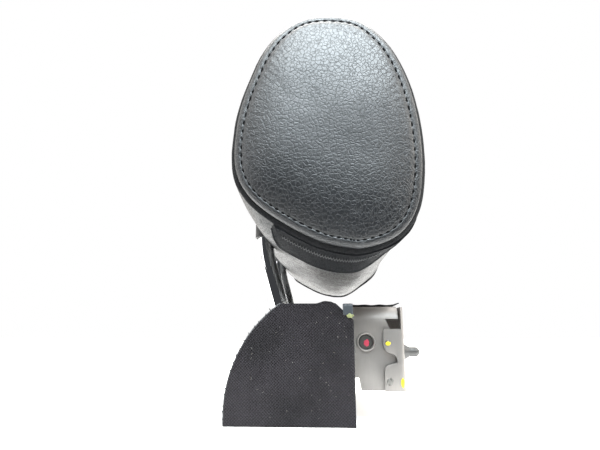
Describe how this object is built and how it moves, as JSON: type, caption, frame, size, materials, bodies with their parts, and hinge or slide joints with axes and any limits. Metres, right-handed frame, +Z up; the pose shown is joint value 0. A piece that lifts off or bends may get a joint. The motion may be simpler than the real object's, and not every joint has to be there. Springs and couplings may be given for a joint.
{
  "type": "folding rear headrest",
  "caption": "Leather rear-seat headrest on a bent chrome post rod, with a quarter-round fabric cover and a steel hinge bracket.",
  "frame": {"origin": "middle of the front plate's outer face, a little above the line between the two studs", "axes": "+X out of the front plate, the way the studs and the occupant face; +Z up towards the pad; Y across the seat"},
  "size_m": [0.1371, 0.257, 0.2884],
  "materials": {
    "leather": "satin",
    "foam": "matte",
    "chrome": "polished",
    "bracket_steel": "satin",
    "mechanism_steel": "satin",
    "cover_fabric": "matte",
    "cover_plastic": "matte",
    "black_plastic": "satin",
    "rubber": "matte"
  },
  "bodies": {
    "bracket": {"housing": "bracket_steel", "front_plate": "bracket_steel", "stud_near": "mechanism_steel", "stud_far": "mechanism_steel", "top_strip": "cover_fabric", "fold_spring": "mechanism_steel", "stop_near": "rubber", "stop_far": "rubber"},
    "head": {"pivot_shaft": "mechanism_steel", "cross_tube": "mechanism_steel", "swing_arm_near": "mechanism_steel", "swing_arm_far": "mechanism_steel", "friction_pack_near": "mechanism_steel", "friction_pack_far": "mechanism_steel", "standoff_near": "black_plastic", "standoff_far": "black_plastic", "post_socket_near": "mechanism_steel", "post_socket_far": "mechanism_steel", "post_rod": "chrome", "post_collar_near": "black_plastic", "post_collar_far": "black_plastic", "cover_panel": "cover_plastic", "cover_panel_fabric": "cover_fabric", "cover_side_near": "cover_plastic", "cover_side_far": "cover_plastic", "side_fabric_near": "cover_fabric", "side_fabric_far": "cover_fabric", "clip_near": "cover_plastic", "clip_far": "cover_plastic", "foam_core": "foam", "wrap_band": "leather", "underside_flap": "leather", "end_panel_near": "leather", "end_panel_far": "leather", "welt_near": "leather", "welt_far": "leather"}
  },
  "joints": [
    {"name": "fold", "type": "hinge", "parent": "bracket", "child": "head", "pos_m": [-0.0269, 0, 0.0065], "axis": [0, 1, 0], "range_deg": [0, 60]}
  ]
}
